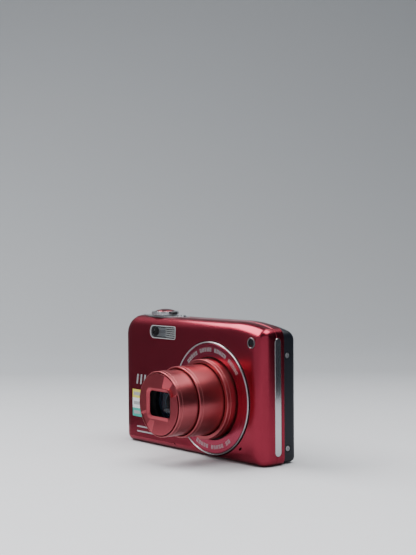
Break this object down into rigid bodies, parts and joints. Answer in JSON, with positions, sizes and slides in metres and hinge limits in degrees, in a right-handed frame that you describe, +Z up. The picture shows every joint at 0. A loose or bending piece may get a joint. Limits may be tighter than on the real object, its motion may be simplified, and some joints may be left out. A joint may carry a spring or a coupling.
{
  "type": "compact digital camera",
  "caption": "Pocket digital camera with a telescoping zoom lens, flash, top controls, rear screen and buttons, and a battery door.",
  "frame": {"origin": "middle of the flat bottom that the camera rests on", "axes": "+Z up, -Y the way the lens looks, +X to the right of someone facing the lens"},
  "size_m": [0.0948, 0.048, 0.0609],
  "materials": {
    "red_metal": "satin anodised metal, maroon to red",
    "barrel_red": "red metal, brushed around the lens axis",
    "black_plastic": "satin moulded black",
    "gloss_black": "polished black",
    "chrome": "polished",
    "steel": "brushed",
    "brass": "machined",
    "glass": "coated optical glass",
    "clear": "clear moulded window",
    "screen": "dark polished screen",
    "board": "green solder mask",
    "cell_wrap": "dark grey wrap",
    "sensor": "dark sensor cover"
  },
  "bodies": {
    "camera_body": {"front_cover": "red_metal", "middle_frame": "red_metal", "rear_cover": "black_plastic", "side_trim": "chrome", "strap_eyelet": "chrome", "rear_screw_right_upper": "steel", "rear_screw_right_lower": "steel", "rear_screw_left_upper": "steel", "rear_screw_left_lower": "steel", "base_screw_left": "steel", "base_screw_right": "steel", "tripod_socket": "steel", "lens_ring_plate": "red_metal", "lens_ring_trim": "chrome", "flash_window": "clear", "flash_reflector": "chrome", "flash_tube": "clear", "flash_capacitor": "black_plastic", "af_lamp_window": "glass", "control_plate": "chrome", "shutter_spring": "steel", "lcd_panel": "screen", "lcd_window": "screen", "battery": "cell_wrap", "memory_card": "cell_wrap", "battery_holder": "black_plastic", "main_board": "board", "usb_connector": "steel", "lens_housing": "black_plastic", "image_sensor": "sensor", "zoom_motor": "steel"},
    "cam_ring": {"cam_ring": "brass"},
    "outer_barrel": {"barrel_outer": "barrel_red"},
    "middle_barrel": {"barrel_middle": "barrel_red", "variator_cell": "black_plastic", "variator_lens": "glass"},
    "front_barrel": {"barrel_front": "barrel_red", "lens_bezel": "barrel_red", "front_lens_holder": "black_plastic", "front_lens": "glass"},
    "upper_blade": {"blade_upper": "black_plastic"},
    "lower_blade": {"blade_lower": "black_plastic"},
    "idler": {"idler_gear": "brass"},
    "motor_pinion": {"motor_gear": "brass"},
    "focus_group": {"focus_cell": "black_plastic", "focus_lens": "glass"},
    "zoom_lever": {"zoom_ring": "chrome"},
    "shutter": {"shutter_button": "chrome"},
    "power": {"power_button": "chrome"},
    "movie_key": {"movie_button": "gloss_black"},
    "mode_key": {"mode_button": "gloss_black"},
    "playback_key": {"playback_button": "gloss_black"},
    "menu_key": {"menu_button": "gloss_black"},
    "delete_key": {"delete_button": "gloss_black"},
    "gimbal": {"selector_gimbal": "steel"},
    "selector": {"multi_selector": "gloss_black"},
    "ok_key": {"ok_button": "gloss_black"},
    "door_slider": {"door_hinge_pin": "steel"},
    "door": {"battery_door": "red_metal"},
    "usb_flap": {"usb_cover": "black_plastic"}
  },
  "joints": [
    {"name": "lens_zoom", "type": "hinge", "parent": "camera_body", "child": "cam_ring", "pos_m": [0.0154, 0, 0.0252], "axis": [0, -1, 0], "range_deg": [-110, 0]},
    {"name": "barrel_outer_slide", "type": "slide", "parent": "camera_body", "child": "outer_barrel", "axis": [0, -1, 0], "range_m": [-0.0046, 0]},
    {"name": "barrel_middle_slide", "type": "slide", "parent": "outer_barrel", "child": "middle_barrel", "axis": [0, -1, 0], "range_m": [-0.0124, 0]},
    {"name": "barrel_front_slide", "type": "slide", "parent": "middle_barrel", "child": "front_barrel", "axis": [0, -1, 0], "range_m": [-0.0096, 0]},
    {"name": "idler_spin", "type": "hinge", "parent": "camera_body", "child": "idler", "pos_m": [0.03289, 0, 0.01153], "axis": [0, -1, 0], "range_deg": [0, 570.33]},
    {"name": "motor_spin", "type": "hinge", "parent": "camera_body", "child": "motor_pinion", "pos_m": [0.03853, 0, 0.00948], "axis": [0, -1, 0], "range_deg": [-854.5, 0]},
    {"name": "blade_upper_swing", "type": "hinge", "parent": "front_barrel", "child": "upper_blade", "pos_m": [0.0266, -0.03635, 0.0252], "axis": [0, -1, 0], "range_deg": [0, 28.36]},
    {"name": "blade_lower_swing", "type": "hinge", "parent": "front_barrel", "child": "lower_blade", "pos_m": [0.0042, -0.03595, 0.0252], "axis": [0, -1, 0], "range_deg": [0, 28.36]},
    {"name": "focus_slide", "type": "slide", "parent": "camera_body", "child": "focus_group", "axis": [0, -1, 0], "range_m": [0, 0.001]},
    {"name": "zoom_lever_turn", "type": "hinge", "parent": "camera_body", "child": "zoom_lever", "pos_m": [-0.0257, -0.002, 0.0582], "axis": [0, 0, 1], "range_deg": [-14, 14]},
    {"name": "shutter_press", "type": "slide", "parent": "camera_body", "child": "shutter", "axis": [0, 0, -1], "range_m": [0, 0.0008], "deforming": ["shutter_spring"]},
    {"name": "power_press", "type": "slide", "parent": "camera_body", "child": "power", "axis": [0, 0, -1], "range_m": [0, 0.0003]},
    {"name": "movie_press", "type": "slide", "parent": "camera_body", "child": "movie_key", "axis": [0, -1, 0], "range_m": [0, 0.0003]},
    {"name": "mode_press", "type": "slide", "parent": "camera_body", "child": "mode_key", "axis": [0, -1, 0], "range_m": [0, 0.0003]},
    {"name": "playback_press", "type": "slide", "parent": "camera_body", "child": "playback_key", "axis": [0, -1, 0], "range_m": [0, 0.0003]},
    {"name": "menu_press", "type": "slide", "parent": "camera_body", "child": "menu_key", "axis": [0, -1, 0], "range_m": [0, 0.0003]},
    {"name": "delete_press", "type": "slide", "parent": "camera_body", "child": "delete_key", "axis": [0, -1, 0], "range_m": [0, 0.0003]},
    {"name": "selector_pitch", "type": "hinge", "parent": "camera_body", "child": "gimbal", "pos_m": [-0.032, 0.0063, 0.025], "axis": [1, 0, 0], "range_deg": [-3, 3]},
    {"name": "selector_yaw", "type": "hinge", "parent": "gimbal", "child": "selector", "pos_m": [-0.032, 0.0063, 0.025], "axis": [0, 0, 1], "range_deg": [-3, 3]},
    {"name": "ok_press", "type": "slide", "parent": "selector", "child": "ok_key", "axis": [0, -1, 0], "range_m": [0, 0.0003]},
    {"name": "door_slide", "type": "slide", "parent": "camera_body", "child": "door_slider", "axis": [-1, 0, 0], "range_m": [0, 0.002]},
    {"name": "door_turn", "type": "hinge", "parent": "door_slider", "child": "door", "pos_m": [-0.0111, 0, 0.00145], "axis": [0, -1, 0], "range_deg": [0, 90]},
    {"name": "usb_cover_turn", "type": "hinge", "parent": "camera_body", "child": "usb_flap", "pos_m": [-0.0462, 0.0051, 0.0122], "axis": [0, -1, 0], "range_deg": [0, 100]}
  ],
  "couplings": [
    {"joint": "barrel_outer_slide", "follows": "lens_zoom", "m_per_rad": 0.002396},
    {"joint": "barrel_middle_slide", "follows": "lens_zoom", "m_per_rad": 0.0064588},
    {"joint": "barrel_front_slide", "follows": "lens_zoom", "m_per_rad": 0.0050004},
    {"joint": "idler_spin", "follows": "lens_zoom", "ratio": -5.1667},
    {"joint": "motor_spin", "follows": "lens_zoom", "ratio": 7.75},
    {"joint": "blade_upper_swing", "follows": "lens_zoom", "ratio": -0.25779},
    {"joint": "blade_lower_swing", "follows": "lens_zoom", "ratio": -0.25779}
  ]
}
